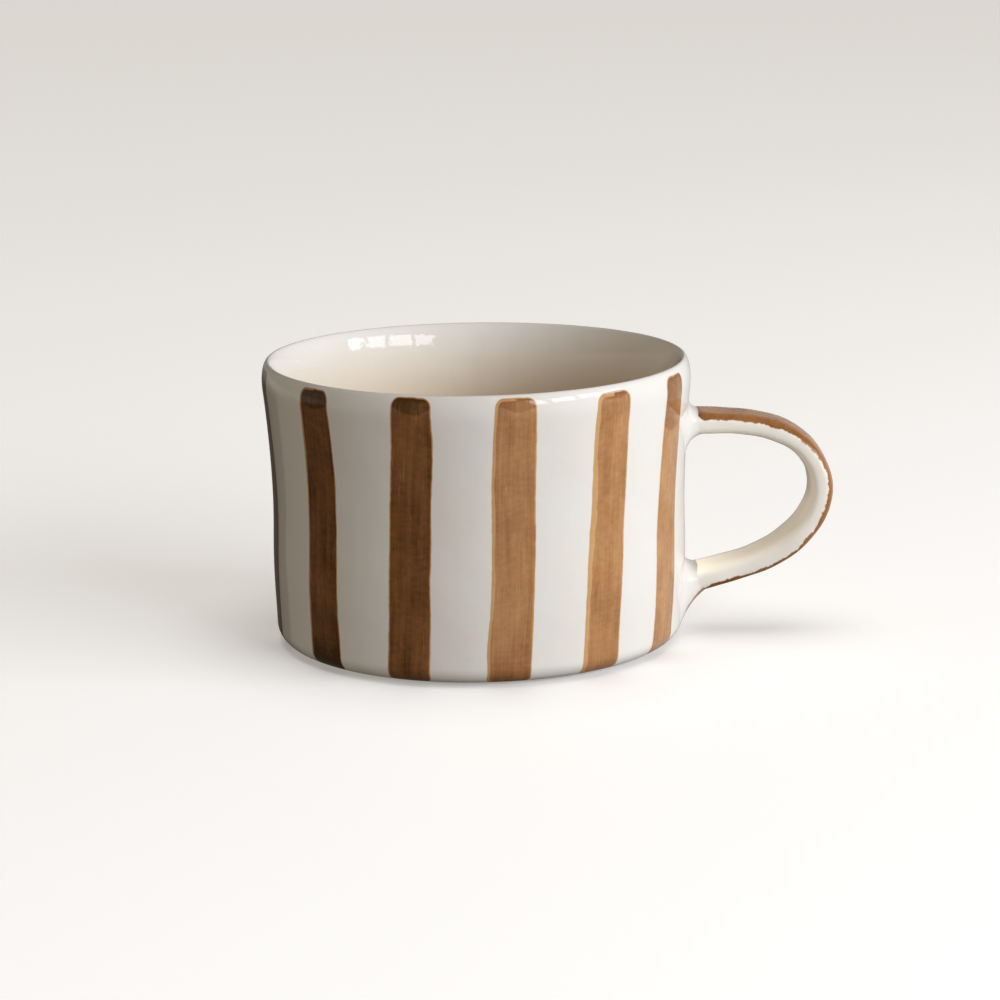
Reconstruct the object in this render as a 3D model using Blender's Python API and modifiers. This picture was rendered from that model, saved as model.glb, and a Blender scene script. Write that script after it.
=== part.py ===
"""Striped stoneware mug: a wide, low cup with a strap handle.

The cup is one turned piece of clay. The handle is a pulled strap, fixed to the
cup's wall with a worked collar of soft clay at each end. The mug stands on the
plane z = 0, its handle points along +X, and the origin is the middle of its
footprint with the handle included. Lengths are in metres.
"""

import math

import bmesh
import bpy

# Cup: overall sizes
HEIGHT = 0.0702             # foot to the crest of the lip
RIM_RADIUS = 0.0526         # outside of the lip
WAIST_RADIUS = 0.0509       # narrowest place of the wall's outside
WAIST_SHARE = 0.50          # height of the waist, as a share of the cup's height
BASE_RADIUS = 0.0505        # outside of the wall where the base corner starts
WALL = 0.0040               # wall thickness, and the full round of the lip
FLARE_POWER = 1.7           # how late the wall flares between waist and lip
TAPER_POWER = 3.0           # how late it draws in between waist and base

# Cup: base and foot
CORNER_RADIUS = 0.0044      # outside corner between wall and base
HEEL_HEIGHT = 0.0006        # the base stands this far clear of the table
FOOT_INSET = 0.0060         # base radius to the outside of the foot ring
FOOT_WIDTH = 0.0055         # width of the ring that the mug stands on
FOOT_CHAMFER = 0.0004       # bevel on both edges of the ring
RECESS_DEPTH = 0.0016       # hollow inside the ring
FLOOR = 0.0045              # floor thickness over the hollow
BOWL_RADIUS = 0.0090        # inside corner between wall and floor

# Handle strap
HANDLE_REACH = 0.0350       # lip to the handle's outermost face
STRAP_WIDTH = 0.0144
STRAP_THICKNESS = 0.0054
TOP_DROP = 0.0169           # crest of the lip to the strap's middle, upper end
FOOT_RISE = 0.0134          # table to the strap's middle, lower end
BEND_RISE = 0.0362          # table to the handle's outermost place
BEND_GIRTH = 1.06           # the strap's girth there, against its girth at the ends

# Clay collars at the strap's two ends: how far they spread on the wall
UPPER_SPREAD = {"above": 0.0036, "below": 0.0050, "beside": 0.0036}
LOWER_SPREAD = {"above": 0.0020, "below": 0.0078, "beside": 0.0036}
COLLAR_REACH = 0.0044       # along the strap, from the wall
COLLAR_EDGE = 0.0007        # step from the strap up to the collar's outer edge

CLEARANCE = 0.0003          # between any two pieces
TURNS = 64                  # facets round the cup
RING_CORNERS = 20           # corners round a collar
COLLAR_STEPS = 6            # rings along a collar

# Derived sizes
LIP_RADIUS = WALL / 2
LIP_Z = HEIGHT - LIP_RADIUS
WAIST_Z = WAIST_SHARE * HEIGHT
CORNER_Z = HEEL_HEIGHT + CORNER_RADIUS
FOOT_OUTER = BASE_RADIUS - FOOT_INSET
FOOT_INNER = FOOT_OUTER - FOOT_WIDTH
FLOOR_Z = RECESS_DEPTH + FLOOR
BOWL_Z = FLOOR_Z + BOWL_RADIUS
REACH_RADIUS = RIM_RADIUS + HANDLE_REACH
WIDEST_RADIUS = max(RIM_RADIUS, WAIST_RADIUS, BASE_RADIUS)
CUP_AXIS_X = (WIDEST_RADIUS - REACH_RADIUS) / 2

CREAM = (0.83, 0.79, 0.71)
BROWN = (0.36, 0.18, 0.075)


def clear_scene():
    """Empty the file, whatever it was opened with."""
    for item in list(bpy.data.objects):
        bpy.data.objects.remove(item, do_unlink=True)


def new_collection(name):
    """A collection linked to the scene."""
    group = bpy.data.collections.new(name)
    bpy.context.scene.collection.children.link(group)
    return group


def glaze(name, colour, roughness):
    """Glossy glazed clay."""
    material = bpy.data.materials.new(name)
    material.use_nodes = True
    shader = material.node_tree.nodes["Principled BSDF"]
    shader.inputs["Base Color"].default_value = (*colour, 1.0)
    shader.inputs["Roughness"].default_value = roughness
    shader.inputs["Metallic"].default_value = 0.0
    return material


def add_mesh(name, mesh, group):
    """Put a mesh in the scene on the cup's axis."""
    item = bpy.data.objects.new(name, mesh)
    item.location.x = CUP_AXIS_X
    group.objects.link(item)
    return item


def finish(item, material):
    """Give a sub-part its glaze and smooth shading."""
    item.data.materials.clear()
    item.data.materials.append(material)
    item.data.shade_smooth()
    item.data.set_sharp_from_angle(angle=math.radians(40))


def hide_cutter(item):
    """A cutter is seen as a wire and never rendered."""
    item.hide_render = True
    item.display_type = "WIRE"


# ---------------------------------------------------------------- the cup

def wall_radius(z):
    """Outside radius of the wall at a height: flared above the waist, drawn in below it."""
    if z >= WAIST_Z:
        share = (z - WAIST_Z) / (LIP_Z - WAIST_Z)
        return WAIST_RADIUS + (RIM_RADIUS - WAIST_RADIUS) * share ** FLARE_POWER
    share = (WAIST_Z - z) / (WAIST_Z - CORNER_Z)
    return WAIST_RADIUS + (BASE_RADIUS - WAIST_RADIUS) * share ** TAPER_POWER


def arc(centre, radius, start, end, count):
    """Points on an arc in the profile's plane, both ends included; angles in degrees."""
    points = []
    for step in range(count + 1):
        angle = math.radians(start + (end - start) * step / count)
        x = centre[0] + radius * math.cos(angle)
        points.append((x, centre[1] + radius * math.sin(angle)))
    return points


def wall_line(low, high, count, offset):
    """Points up the wall between two heights, moved out by the offset."""
    heights = [low + (high - low) * step / count for step in range(count + 1)]
    return [(wall_radius(z) + offset, z) for z in heights]


def cup_profile():
    """Half section of the cup, from the floor's middle round the lip to the hollow's middle."""
    bowl_centre = (wall_radius(BOWL_Z) - WALL - BOWL_RADIUS, BOWL_Z)
    corner_centre = (BASE_RADIUS - CORNER_RADIUS, CORNER_Z)
    profile = [(0.0, FLOOR_Z)]
    profile += arc(bowl_centre, BOWL_RADIUS, -90, 0, 6)
    profile += wall_line(BOWL_Z, LIP_Z, 6, -WALL)[1:-1]
    profile += arc((RIM_RADIUS - LIP_RADIUS, LIP_Z), LIP_RADIUS, 180, 0, 8)
    profile += wall_line(CORNER_Z, LIP_Z, 9, 0.0)[-2:0:-1]
    profile += arc(corner_centre, CORNER_RADIUS, 0, -90, 5)
    profile += foot_profile()
    return profile


def foot_profile():
    """The foot ring, with both edges bevelled, and the hollow inside it."""
    return [
        (FOOT_OUTER, HEEL_HEIGHT),
        (FOOT_OUTER - FOOT_CHAMFER, 0.0),
        (FOOT_INNER + FOOT_CHAMFER, 0.0),
        (FOOT_INNER, FOOT_CHAMFER),
        (FOOT_INNER - RECESS_DEPTH, RECESS_DEPTH),
        (0.0, RECESS_DEPTH),
    ]


def turned(name, profile, group):
    """A solid of revolution about the cup's axis."""
    mesh = bpy.data.meshes.new(name)
    points = [(x, 0.0, z) for x, z in profile]
    edges = [(index, index + 1) for index in range(len(points) - 1)]
    mesh.from_pydata(points, edges, [])
    item = add_mesh(name, mesh, group)
    screw = item.modifiers.new("Turn", "SCREW")
    screw.axis = "Z"
    screw.steps = TURNS
    screw.render_steps = TURNS
    screw.use_merge_vertices = True
    screw.merge_threshold = 0.00005
    return item


def wall_cutter(group):
    """The cup's outside with the clearance added, as a plug to cut the handle's ends with."""
    middle = wall_line(CORNER_Z, LIP_Z, 9, CLEARANCE)
    profile = [(0.0, LIP_Z)] + middle[::-1]
    profile += arc((BASE_RADIUS - CORNER_RADIUS, CORNER_Z), CORNER_RADIUS + CLEARANCE, 0, -90, 5)[1:]
    profile += [(0.0, HEEL_HEIGHT - CLEARANCE)]
    cutter = turned("wall_cutter", profile, group)
    hide_cutter(cutter)
    return cutter


# ------------------------------------------------------------- the handle

def upper_end():
    """The strap's middle where its upper end meets the wall."""
    z = HEIGHT - TOP_DROP
    return wall_radius(z), z


def lower_end():
    """The strap's middle where its lower end meets the wall."""
    return wall_radius(FOOT_RISE), FOOT_RISE


def strap_route():
    """Middle line of the strap in the plane y = 0, with the strap's relative girth.

    It leaves the wall level, drops round a long outer bend and comes back on a slant.
    The shares place each point between the wall and the bend, and between two ends.
    """
    top_x, top_z = upper_end()
    low_x, low_z = lower_end()
    bend_x = REACH_RADIUS - BEND_GIRTH * STRAP_THICKNESS / 2
    span = bend_x - top_x
    fall = top_z - BEND_RISE
    lift = BEND_RISE - low_z
    return [
        (top_x - WALL / 2, top_z, 1.00),
        (top_x + 0.26 * span, top_z - 0.004 * fall, 0.98),
        (top_x + 0.56 * span, top_z - 0.075 * fall, 0.95),
        (top_x + 0.855 * span, top_z - 0.355 * fall, 1.00),
        (bend_x, BEND_RISE, BEND_GIRTH),
        (low_x + 0.84 * span, low_z + 0.475 * lift, 1.05),
        (low_x + 0.56 * span, low_z + 0.215 * lift, 0.99),
        (low_x + 0.26 * span, low_z + 0.080 * lift, 1.00),
        (low_x - WALL / 2, low_z - 0.04 * lift, 1.06),
    ]


def strap(name, group, growth=0.0):
    """The strap as a curve with a flat, round-edged section, made a mesh so it can be cut."""
    curve = bpy.data.curves.new(name, "CURVE")
    curve.dimensions = "3D"
    curve.fill_mode = "FULL"
    curve.twist_mode = "MINIMUM"
    curve.extrude = (STRAP_WIDTH - STRAP_THICKNESS) / 2
    curve.bevel_depth = STRAP_THICKNESS / 2 + growth
    curve.bevel_resolution = 3
    curve.resolution_u = 6
    curve.use_fill_caps = True
    route = strap_route()
    spline = curve.splines.new("BEZIER")
    spline.bezier_points.add(len(route) - 1)
    for point, (x, z, girth) in zip(spline.bezier_points, route):
        point.co = (x, 0.0, z)
        point.radius = girth
        point.tilt = math.radians(90)
        point.handle_left_type = "AUTO"
        point.handle_right_type = "AUTO"
    return curve_to_mesh(add_mesh(name, curve, group), group)


def curve_to_mesh(source, group):
    """Replace a curve object with a closed mesh of the same shape, in the same place."""
    name = source.name
    bpy.context.view_layer.update()
    evaluated = source.evaluated_get(bpy.context.evaluated_depsgraph_get())
    mesh = bpy.data.meshes.new_from_object(evaluated)
    place = source.matrix_world.copy()
    bpy.data.objects.remove(source, do_unlink=True)
    shape = bmesh.new()
    shape.from_mesh(mesh)
    bmesh.ops.remove_doubles(shape, verts=shape.verts, dist=0.00002)
    bmesh.ops.recalc_face_normals(shape, faces=shape.faces)
    shape.to_mesh(mesh)
    shape.free()
    item = bpy.data.objects.new(name, mesh)
    item.matrix_world = place
    group.objects.link(item)
    return item


# ------------------------------------------------------- the clay collars

def flat_oval(x, z, half_height, half_width):
    """A ring of points round the strap in a plane across X: two half circles with straights between."""
    ring = []
    for index in range(RING_CORNERS):
        angle = 2 * math.pi * (index + 0.5) / RING_CORNERS
        side = math.copysign(half_width - half_height, math.cos(angle))
        ring.append((x, side + half_height * math.cos(angle), z + half_height * math.sin(angle)))
    return ring


def collar(name, end, slope, spread, group):
    """Clay worked round one end of the strap: wide on the wall, fading out along the strap.

    Rings of growing size are joined from the collar's outer edge to inside the wall.
    """
    wall_x, wall_z = end
    shape = bmesh.new()
    rings = []
    for step in range(COLLAR_STEPS + 2):
        share = min(step / COLLAR_STEPS, 1.0)
        swell = 1.0 - math.sqrt(max(0.0, 1.0 - share ** 2))
        depth = WALL / 2 if step > COLLAR_STEPS else 0.0
        x = wall_x + COLLAR_REACH * (1.0 - share) - depth
        above = COLLAR_EDGE + (spread["above"] - COLLAR_EDGE) * swell
        below = COLLAR_EDGE + (spread["below"] - COLLAR_EDGE) * swell
        beside = COLLAR_EDGE + (spread["beside"] - COLLAR_EDGE) * swell
        z = wall_z + slope * (x - wall_x) + (above - below) / 2
        half_height = STRAP_THICKNESS / 2 + (above + below) / 2
        points = flat_oval(x, z, half_height, STRAP_WIDTH / 2 + beside)
        rings.append([shape.verts.new(point) for point in points])
    for near, far in zip(rings, rings[1:]):
        for index in range(len(near)):
            after = (index + 1) % len(near)
            shape.faces.new((near[index], near[after], far[after], far[index]))
    shape.faces.new(rings[0])
    shape.faces.new(rings[-1])
    bmesh.ops.recalc_face_normals(shape, faces=shape.faces)
    mesh = bpy.data.meshes.new(name)
    shape.to_mesh(mesh)
    shape.free()
    return add_mesh(name, mesh, group)


def cut(item, cutter):
    """Take the cutter's shape out of a piece."""
    boolean = item.modifiers.new("Clear of " + cutter.name, "BOOLEAN")
    boolean.operation = "DIFFERENCE"
    boolean.solver = "EXACT"
    boolean.object = cutter


def end_slope(first, second):
    """Rise of the strap for each metre outward, between two points of its route."""
    return (second[1] - first[1]) / (second[0] - first[0])


def main():
    clear_scene()
    mug = new_collection("mug")
    cutters = new_collection("cutters")
    cream = glaze("cream_glaze", CREAM, 0.12)
    brown = glaze("brown_stroke_glaze", BROWN, 0.14)

    cup = turned("cup_body", cup_profile(), mug)
    finish(cup, cream)

    wall = wall_cutter(cutters)
    handle = strap("handle_strap", mug)
    cut(handle, wall)
    finish(handle, brown)

    sleeve = strap("strap_cutter", cutters, CLEARANCE)
    hide_cutter(sleeve)
    route = strap_route()
    upper_slope = end_slope(route[0], route[1])
    lower_slope = end_slope(route[-1], route[-2])
    upper = collar("upper_joint", upper_end(), upper_slope, UPPER_SPREAD, mug)
    lower = collar("lower_joint", lower_end(), lower_slope, LOWER_SPREAD, mug)
    for piece in (upper, lower):
        cut(piece, wall)
        cut(piece, sleeve)
        finish(piece, cream)


main()
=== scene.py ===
# %% [markdown]
# # A striped stoneware mug
#
# This lesson dresses a finished model. The sizes and places of the mug's four
# pieces of clay are already settled, so we load that model as a fixed frame
# and build everything round it: the cup, the handle, the two clay collars
# that hold the handle on, the brushed stripes and the glaze over them.

# %% Load the frame
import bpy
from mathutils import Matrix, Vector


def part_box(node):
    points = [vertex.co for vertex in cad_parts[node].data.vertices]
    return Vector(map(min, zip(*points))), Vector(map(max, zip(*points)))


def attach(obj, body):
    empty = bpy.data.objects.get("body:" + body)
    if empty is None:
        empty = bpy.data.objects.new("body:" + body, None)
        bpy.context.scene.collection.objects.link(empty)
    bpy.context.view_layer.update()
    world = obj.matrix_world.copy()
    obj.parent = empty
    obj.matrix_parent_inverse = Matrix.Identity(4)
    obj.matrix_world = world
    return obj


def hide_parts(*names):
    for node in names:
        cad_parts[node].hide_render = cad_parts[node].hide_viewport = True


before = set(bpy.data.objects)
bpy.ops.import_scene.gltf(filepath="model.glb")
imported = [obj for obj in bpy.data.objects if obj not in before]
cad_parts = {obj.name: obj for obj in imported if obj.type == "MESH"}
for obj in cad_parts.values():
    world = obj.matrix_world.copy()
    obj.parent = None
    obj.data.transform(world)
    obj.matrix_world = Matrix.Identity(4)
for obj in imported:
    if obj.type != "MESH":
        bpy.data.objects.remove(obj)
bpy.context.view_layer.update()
print("pieces of the frame:", sorted(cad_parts))

# %% [markdown]
# ## Measure before making
#
# A potter works with calipers. We do the same: every length below is either
# read from the frame or named once here, in millimetres, with MM turning it
# into the scene's metres. The cup is round about an upright axis that isn't
# at the origin, because the origin is the middle of the whole footprint.

# %% Calipers on the frame
import math

import bpy
import numpy as np
from mathutils import Matrix, Vector

MM = 0.001
cup_low, cup_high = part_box("cup_body")
strap_low, strap_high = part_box("handle_strap")
axis_x = (cup_low.x + cup_high.x) / 2 / MM
rim_radius = (cup_high.x - cup_low.x) / 2 / MM
height = cup_high.z / MM
reach = strap_high.x / MM - axis_x
strap_width = (strap_high.y - strap_low.y) / MM
print(f"axis at x = {axis_x:.1f}, rim radius {rim_radius:.1f} mm")
print(f"height {height:.1f}, reach {reach:.1f}, strap {strap_width:.1f} mm wide")

# %% [markdown]
# ## The camera
#
# The mug is seen from a little above its rim, from about three quarters of a
# metre away, through a long lens, so its ellipses are flat and its sides
# nearly parallel. The camera is turned in three steps: tipped down, swung
# sideways and rolled a touch about its own line of sight.

# %% Set up the camera
CAMERA_DISTANCE = 731.6
CAMERA_HEIGHT = 199.9
LENS = 109.0
TIP_DOWN, SWING, ROLL = 12.78, 0.426, -0.836

lens = bpy.data.cameras.new("camera")
lens.lens = LENS
camera = bpy.data.objects.new("camera", lens)
bpy.context.scene.collection.objects.link(camera)
tip = Matrix.Rotation(math.radians(90 - TIP_DOWN), 4, "X")
swing = Matrix.Rotation(math.radians(-SWING), 4, "Z")
roll = Matrix.Rotation(math.radians(ROLL), 4, "Z")
place = Matrix.Translation(Vector((axis_x, -CAMERA_DISTANCE, CAMERA_HEIGHT)) * MM)
camera.matrix_world = place @ swing @ tip @ roll
bpy.context.scene.camera = camera
print("camera at", [round(value, 3) for value in camera.matrix_world.translation])

# %% [markdown]
# ## Helpers for shaders
#
# A glaze is a small graph of nodes. Written out in full, each node takes four
# or five lines, which hides the idea, so a few short helpers add a node, fill
# its sockets and hand back its output. A value that is itself a socket is
# linked; anything else is typed into the socket.

# %% Shader helpers

def fill(tree, socket, value):
    """Type a value into a socket, or link it if it is an output."""
    if isinstance(value, bpy.types.NodeSocket):
        tree.links.new(value, socket)
    else:
        socket.default_value = value


def calc(tree, operation, *values, clamp=False):
    """One step of arithmetic."""
    step = tree.nodes.new("ShaderNodeMath")
    step.operation = operation
    step.use_clamp = clamp
    for socket, value in zip(step.inputs, values):
        fill(tree, socket, value)
    return step.outputs[0]


def blend_colours(tree, share, first, second):
    """The first colour where the share is 0, the second where it is 1."""
    mix = tree.nodes.new("ShaderNodeMix")
    mix.data_type = "RGBA"
    fill(tree, mix.inputs["Factor"], share)
    for name, colour in (("A", first), ("B", second)):
        ready = isinstance(colour, bpy.types.NodeSocket)
        fill(tree, mix.inputs[name], colour if ready else (*colour, 1.0))
    return mix.outputs["Result"]


def ease(tree, value, low, high):
    """A soft step: 0 at low and before it, 1 at high and beyond it, smooth between."""
    step = tree.nodes.new("ShaderNodeMapRange")
    step.interpolation_type = "SMOOTHSTEP"
    for name, number in (("From Min", low), ("From Max", high), ("Value", value)):
        fill(tree, step.inputs[name], number)
    return step.outputs["Result"]


def vector(tree, x, y, z=0.0):
    """Three numbers as one vector."""
    join = tree.nodes.new("ShaderNodeCombineXYZ")
    for socket, value in zip(join.inputs, (x, y, z)):
        fill(tree, socket, value)
    return join.outputs[0]


def noise(tree, where, scale=1.0, detail=2.0, rough=0.5):
    """Cloudy variation round 0.5."""
    cloud = tree.nodes.new("ShaderNodeTexNoise")
    fill(tree, cloud.inputs["Vector"], where)
    fill(tree, cloud.inputs["Scale"], scale)
    fill(tree, cloud.inputs["Detail"], detail)
    fill(tree, cloud.inputs["Roughness"], rough)
    return cloud.outputs["Fac"]


def ramp(tree, share, stops):
    """A run of colours along a share from 0 to 1."""
    node = tree.nodes.new("ShaderNodeValToRGB")
    fill(tree, node.inputs["Fac"], share)
    elements = node.color_ramp.elements
    while len(elements) < len(stops):
        elements.new(0.5)
    for element, (place_on_ramp, colour) in zip(elements, stops):
        element.position = place_on_ramp
        element.color = (*colour, 1.0)
    return node.outputs["Color"]


print("shader helpers ready")

# %% [markdown]
# ## Helpers for turned shapes
#
# The table, the cup, the strap and the collars are all rings of points with
# quads between them. One helper turns a section into rings, one lays the
# quads, one closes a ring in the middle, and one makes the mesh object.

# %% Ring helpers

def lathe_points(section, count):
    """Turn a section of (radius, height) pairs about the upright axis through the cup."""
    turns = np.arange(count) * 2 * math.pi / count
    radius = np.array([point[0] for point in section])
    rise = np.array([point[1] for point in section])
    x = axis_x + radius[:, None] * np.sin(turns)[None, :]
    y = -radius[:, None] * np.cos(turns)[None, :]
    z = np.repeat(rise[:, None], count, axis=1)
    return np.stack([x, y, z], axis=-1)


def ring_faces(rings, count):
    """Quads between neighbouring rings; they face out where the rings run down the outside."""
    faces = []
    for ring in range(rings - 1):
        for step in range(count):
            after = (step + 1) % count
            near, far = ring * count, (ring + 1) * count
            faces.append((near + step, far + step, far + after, near + after))
    return faces


def close_middle(faces, first, count, upward):
    """Close a ring of points with one flat face."""
    ring = tuple(range(first, first + count))
    faces.append(ring if upward else ring[::-1])


def new_object(name, points, faces):
    """A smooth-shaded mesh object from points in millimetres."""
    mesh = bpy.data.meshes.new(name)
    mesh.from_pydata((points.reshape(-1, 3) * MM).tolist(), [], faces)
    mesh.shade_smooth()
    item = bpy.data.objects.new(name, mesh)
    bpy.context.scene.collection.objects.link(item)
    return item


print("ring helpers ready")

# %% [markdown]
# ## A table and a sweep
#
# The mug stands on a plain pale table. One object does for table and
# backdrop: a disc that turns up into a wall far behind the mug, so that no
# horizon shows from any side. It is kept out of bounced light and of
# reflections, because a white table would light the mug's shaded side from
# below and lay a milky veil over its dark stripes.

# %% Make the sweep
SWEEP_RADIUS = 3000.0
SWEEP_BEND = 900.0
SWEEP_TOP = 2400.0
SWEEP_STEPS = 96
BEND_STEP = 9               # degrees between the rings of the bend

sweep_section = [(1.0, 0.0), (SWEEP_RADIUS / 3, 0.0)]
for angle in range(0, 91, BEND_STEP):
    out_share, up_share = math.sin(math.radians(angle)), 1 - math.cos(math.radians(angle))
    sweep_section.append((SWEEP_RADIUS + SWEEP_BEND * out_share, SWEEP_BEND * up_share))
sweep_section.append((SWEEP_RADIUS + SWEEP_BEND, SWEEP_TOP))
sweep_faces = [face[::-1] for face in ring_faces(len(sweep_section), SWEEP_STEPS)]
close_middle(sweep_faces, 0, SWEEP_STEPS, False)
sweep = new_object("table_sweep", lathe_points(sweep_section, SWEEP_STEPS), sweep_faces)
sweep.visible_diffuse = False
sweep.visible_glossy = False
print("sweep:", len(sweep.data.polygons), "faces")

# %% Paint the table
TABLE_PAINT = (0.86, 0.85, 0.83, 1.0)
TABLE_ROUGHNESS, TABLE_GLOSS = 0.7, 0.2
TABLE_GLOW, GLOW_STRENGTH = (1.0, 0.99, 0.97, 1.0), 0.22

paint = bpy.data.materials.new("pale_table")
paint.use_nodes = True
table_shader = paint.node_tree.nodes["Principled BSDF"]
table_shader.inputs["Base Color"].default_value = TABLE_PAINT
table_shader.inputs["Roughness"].default_value = TABLE_ROUGHNESS
table_shader.inputs["Specular IOR Level"].default_value = TABLE_GLOSS
table_shader.inputs["Emission Color"].default_value = TABLE_GLOW
table_shader.inputs["Emission Strength"].default_value = GLOW_STRENGTH
sweep.data.materials.append(paint)
print("table painted:", paint.name)

# %% [markdown]
# ## Light from one window
#
# Glaze is a mirror over a matt body, so it shows what shape the light has.
# One wide window with glazing bars stands to the right and a little in front:
# it shades the wall from pale at the handle to grey at the far side, and its
# panes appear as small bright figures on the lip and inside the rim. Each
# pane is an area light of its own, with a dark bar between it and the next.
# The panes alone would leave glaring spots, so most of the daylight comes
# through a veil: one wide soft light in the same place that the glaze doesn't
# mirror.

# %% Hang the window
WINDOW_TURN = 54.5          # degrees from the camera's side towards the handle
WINDOW_RISE = 22.0          # degrees above the mug
WINDOW_DISTANCE = 1350.0
AIM_HEIGHT = 35.0           # the window faces the cup's axis at this height
PANES = 4
PANE_WIDTH, PANE_HEIGHT = 300.0, 330.0
BAR = 62.0
PANE_POWER = 1.85
VEIL_WIDTH, VEIL_HEIGHT, VEIL_POWER = 1350.0, 620.0, 10.6
DAYLIGHT = (0.95, 1.0, 1.10)


def look_at_cup(spot_in_mm):
    """A matrix at a spot, facing the middle of the cup."""
    spot = Vector(spot_in_mm) * MM
    aim = Vector((axis_x, 0.0, AIM_HEIGHT)) * MM
    return Matrix.Translation(spot) @ (aim - spot).to_track_quat("-Z", "Y").to_matrix().to_4x4()


def area_light(name, matrix, width, tall, power, colour):
    """A soft rectangular light; sizes in millimetres, power in watts."""
    lamp = bpy.data.lights.new(name, "AREA")
    lamp.shape = "RECTANGLE"
    lamp.size = width * MM
    lamp.size_y = tall * MM
    lamp.energy = power
    lamp.color = colour
    item = bpy.data.objects.new(name, lamp)
    item.matrix_world = matrix
    bpy.context.scene.collection.objects.link(item)
    return item


turn, rise = math.radians(WINDOW_TURN), math.radians(WINDOW_RISE)
level = WINDOW_DISTANCE * math.cos(rise)
window_x, window_y = axis_x + level * math.sin(turn), -level * math.cos(turn)
window = look_at_cup((window_x, window_y, WINDOW_DISTANCE * math.sin(rise)))
for number in range(PANES):
    sideways = (number - (PANES - 1) / 2) * (PANE_WIDTH + BAR)
    pane = window @ Matrix.Translation(Vector((sideways, 0.0, 0.0)) * MM)
    area_light(f"pane_{number}", pane, PANE_WIDTH, PANE_HEIGHT, PANE_POWER, DAYLIGHT)
veil = area_light("veil", window, VEIL_WIDTH, VEIL_HEIGHT, VEIL_POWER, DAYLIGHT)
veil.visible_glossy = False
print("window:", PANES, "panes")

# %% [markdown]
# ## Light from the room
#
# The room gives back a little warm light: most from the wall beside the
# window and from a bright doorway behind on the left, less from the far side,
# and a dim, warmer share from the ceiling and from below. A world whose colour
# changes with direction does that. In reflections the room is dimmer and all
# but the lowest part of the doorway is left out, so that neither greys the
# dark slip.

# %% Light the room
FAR_WALL = (0.430, 0.404, 0.368)
NEAR_WALL = (0.840, 0.826, 0.804)
DOORWAY = (1.500, 1.420, 1.300)
CEILING = (0.170, 0.138, 0.102)
BELOW = (0.155, 0.136, 0.110)
NEAR_BELOW = (0.900, 0.880, 0.850)
# turns in degrees from the camera's side, and how squarely one has to look
# that way for none and for all of the colour
NEAR_WALL_TURN, NEAR_WALL_SPREAD = 100.0, (-0.25, 1.0)
DOORWAY_TURN, DOORWAY_SPREAD = -112.0, (0.35, 1.0)
NEAR_BELOW_TURN, NEAR_BELOW_SPREAD = 132.0, (0.45, 0.95)
# upward parts of a direction between which a colour comes or goes
DOORWAY_TOP = (0.40, 0.12)
CEILING_EDGE = (0.10, 0.60)
TABLE_EDGE = (0.0, -0.20)
DOORWAY_UNSEEN = (-0.15, 0.02)      # where reflections lose the doorway
MIRRORED_SHARE = 0.60               # of the room's light, in reflections

world = bpy.data.worlds.new("room")
world.use_nodes = True
room = world.node_tree
direction = room.nodes.new("ShaderNodeTexCoord")
compass = room.nodes.new("ShaderNodeSeparateXYZ")
room.links.new(direction.outputs["Generated"], compass.inputs[0])
upward_part = compass.outputs["Z"]
mirrored = room.nodes.new("ShaderNodeLightPath").outputs["Is Glossy Ray"]


def facing(turn_in_degrees, spread):
    """From 0 to 1, how far a direction looks towards a turn."""
    angle = math.radians(turn_in_degrees)
    part = calc(room, "MULTIPLY", compass.outputs["Y"], -math.cos(angle))
    squarely = calc(room, "MULTIPLY_ADD", compass.outputs["X"], math.sin(angle), part)
    return ease(room, squarely, *spread)


sky = blend_colours(room, facing(NEAR_WALL_TURN, NEAR_WALL_SPREAD), FAR_WALL, NEAR_WALL)
in_doorway = facing(DOORWAY_TURN, DOORWAY_SPREAD)
in_doorway = calc(room, "MULTIPLY", in_doorway, ease(room, upward_part, *DOORWAY_TOP))
unseen = calc(room, "MULTIPLY", mirrored, ease(room, upward_part, *DOORWAY_UNSEEN))
in_doorway = calc(room, "MULTIPLY", in_doorway, calc(room, "SUBTRACT", 1.0, unseen))
sky = blend_colours(room, in_doorway, sky, DOORWAY)
sky = blend_colours(room, ease(room, upward_part, *CEILING_EDGE), sky, CEILING)
beneath = blend_colours(room, facing(NEAR_BELOW_TURN, NEAR_BELOW_SPREAD), BELOW, NEAR_BELOW)
sky = blend_colours(room, ease(room, upward_part, *TABLE_EDGE), sky, beneath)
background = room.nodes["Background"]
fill(room, background.inputs["Color"], sky)
dimming = calc(room, "MULTIPLY_ADD", mirrored, MIRRORED_SHARE - 1, 1.0)
fill(room, background.inputs["Strength"], dimming)
bpy.context.scene.world = world
print("room light:", len(room.nodes), "nodes")

# %% [markdown]
# The table gets a lamp of its own overhead, linked to the table alone: it
# keeps the table pale without flattening the shading that the window gives
# the mug.

# %% Hang the table lamp
TABLE_LAMP_STRENGTH = 1.1
TABLE_LAMP_ANGLE = 50.0

lamp_data = bpy.data.lights.new("table_lamp", "SUN")
lamp_data.energy = TABLE_LAMP_STRENGTH
lamp_data.angle = math.radians(TABLE_LAMP_ANGLE)
table_lamp = bpy.data.objects.new("table_lamp", lamp_data)
bpy.context.scene.collection.objects.link(table_lamp)
lit_by_lamp = bpy.data.collections.new("lit_by_table_lamp")
lit_by_lamp.objects.link(sweep)
table_lamp.light_linking.receiver_collection = lit_by_lamp
bpy.context.scene.view_settings.view_transform = "Standard"

# %% [markdown]
# ## The cup's section
#
# A jiggered cup is the same section all the way round, so one outline makes
# it. It is built from the few shapes that a potter's rib would cut: a floor,
# a round inside corner, a wall that is slightly waisted, a lip that is
# round outside and leans out over a longer run inside, a tight corner at the
# base and a low foot ring. Arcs and one power curve give all of it.

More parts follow.
